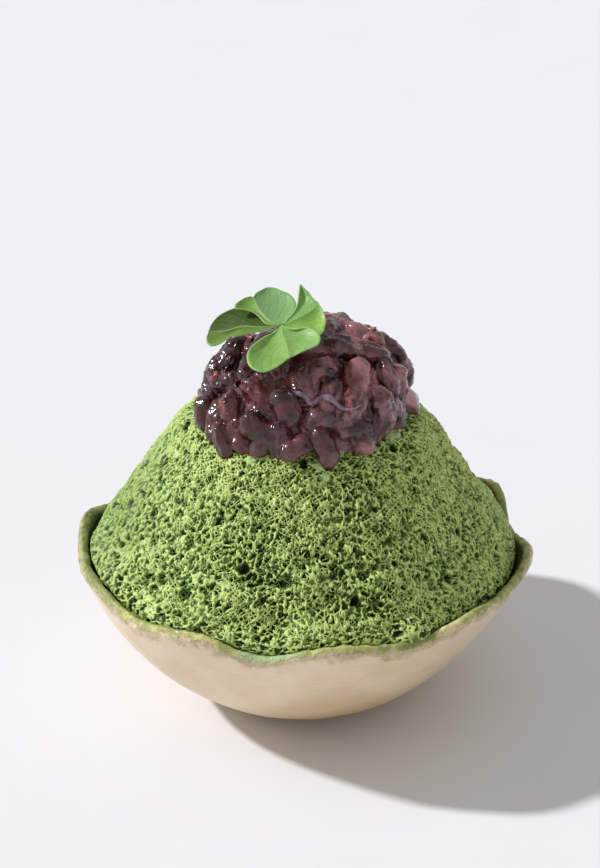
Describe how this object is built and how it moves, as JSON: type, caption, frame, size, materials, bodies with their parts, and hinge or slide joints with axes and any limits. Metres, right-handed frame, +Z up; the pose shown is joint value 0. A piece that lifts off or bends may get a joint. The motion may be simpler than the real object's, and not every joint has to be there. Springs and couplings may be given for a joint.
{
  "type": "bingsu",
  "caption": "Matcha bingsu: a dome of green shaved ice in a pinched stoneware bowl, topped with a heap of glossy sweet red beans and a clover.",
  "frame": {"origin": "middle of the bowl's foot, on the surface that it stands on", "axes": "+Z up; the pictured front, where the clover lies to the left of the heap, faces -Y"},
  "size_m": [0.1309, 0.1309, 0.1253],
  "materials": {
    "stoneware": "satin tan glaze with an olive green, brown-specked rim and a dark green inside; stands in for glazed stoneware",
    "matcha_ice": "matt, porous matcha-green shaved milk ice",
    "sweet_beans": "wet, glossy dark purple-red sweet red beans in thick syrup",
    "clover_leaf": "satin fresh green leaf, thin enough to let light through"
  },
  "bodies": {
    "root": {"bowl": "stoneware", "shaved_ice": "matcha_ice", "red_beans": "sweet_beans", "clover": "clover_leaf"}
  },
  "joints": []
}
